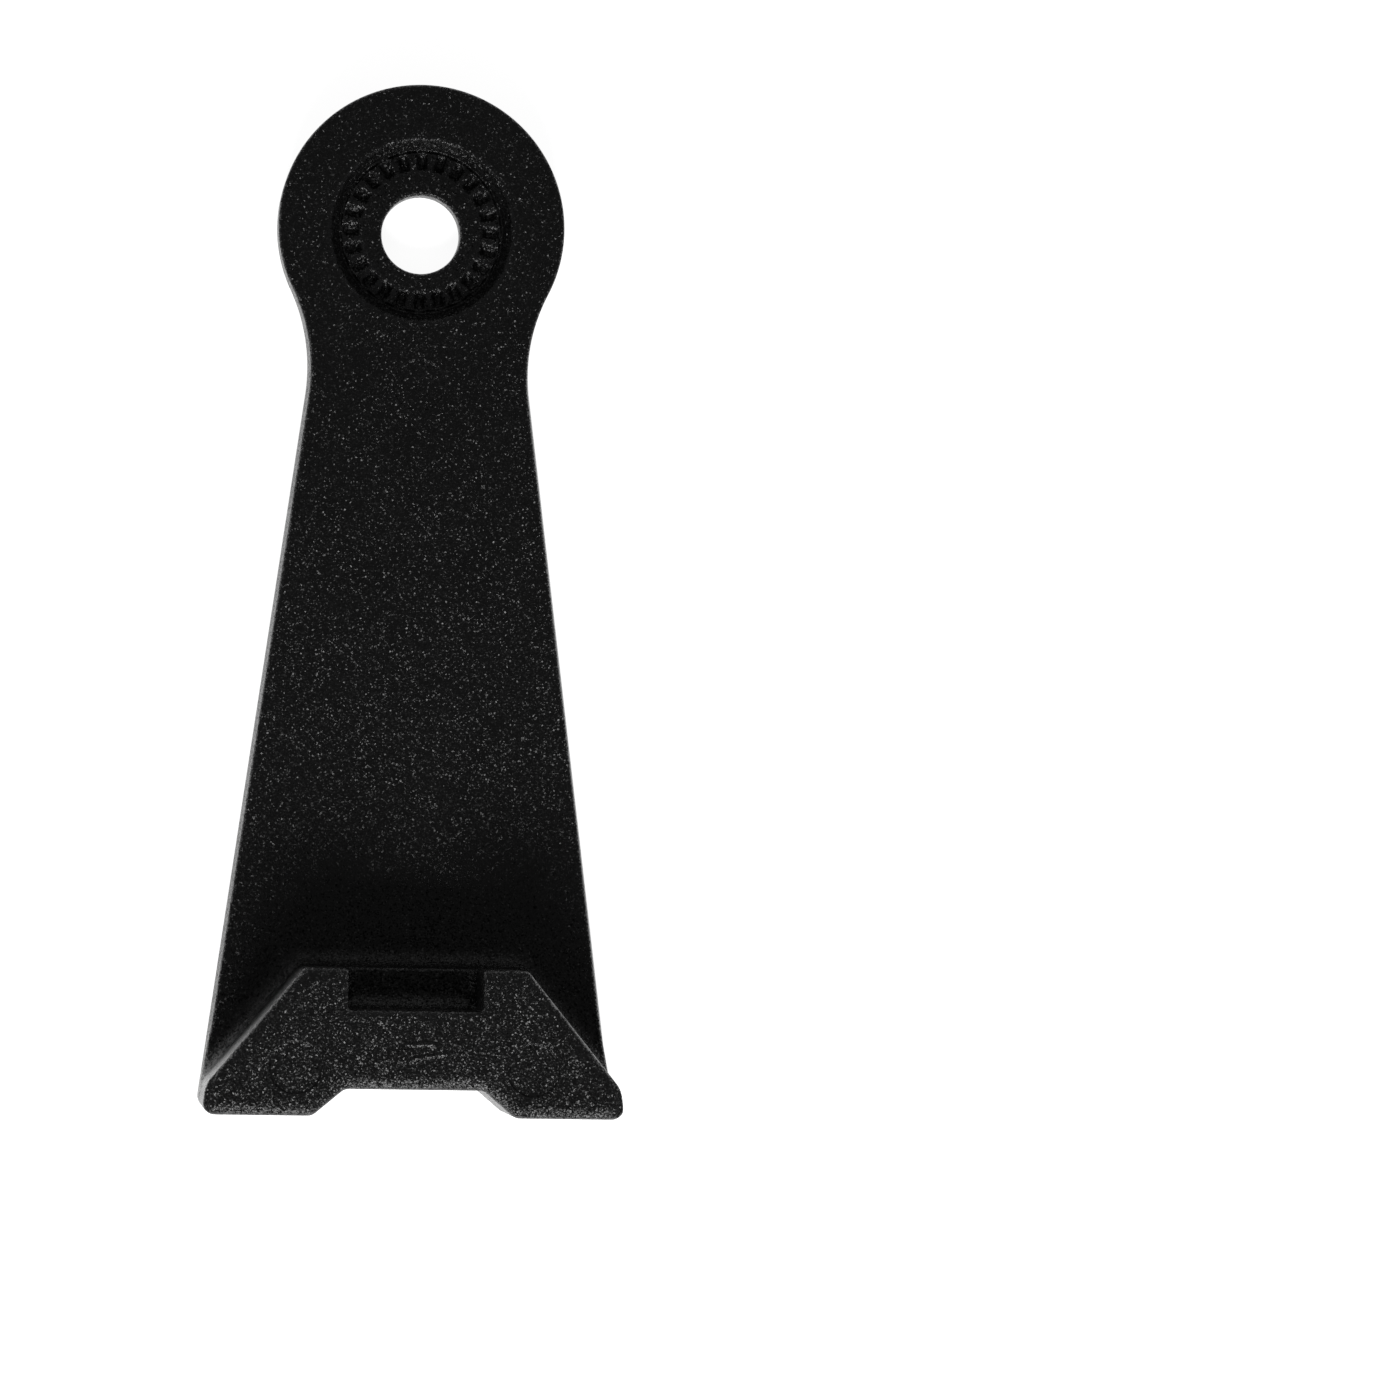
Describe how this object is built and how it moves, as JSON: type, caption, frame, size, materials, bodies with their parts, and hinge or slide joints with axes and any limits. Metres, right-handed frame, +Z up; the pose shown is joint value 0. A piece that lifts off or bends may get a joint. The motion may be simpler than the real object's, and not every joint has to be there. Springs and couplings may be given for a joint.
{
  "type": "wheel chock arm",
  "caption": "L-shaped black moulded chock arm: a tapered flat plate with a bored, toothed hub at one end and a thick notched foot block at the other.",
  "frame": {"origin": "centre of the arm's bounding box on the plane of its flat back, with the arm lying on its back", "axes": "+X across the arm, +Y along the arm from the foot to the hub, +Z up from the flat back to the foot's face, along the bore"},
  "size_m": [0.0512, 0.1276, 0.0225],
  "materials": {
    "black_plastic": "fine even pebble grain with a low sheen"
  },
  "bodies": {
    "root": {"chock_arm": "black_plastic"}
  },
  "joints": []
}
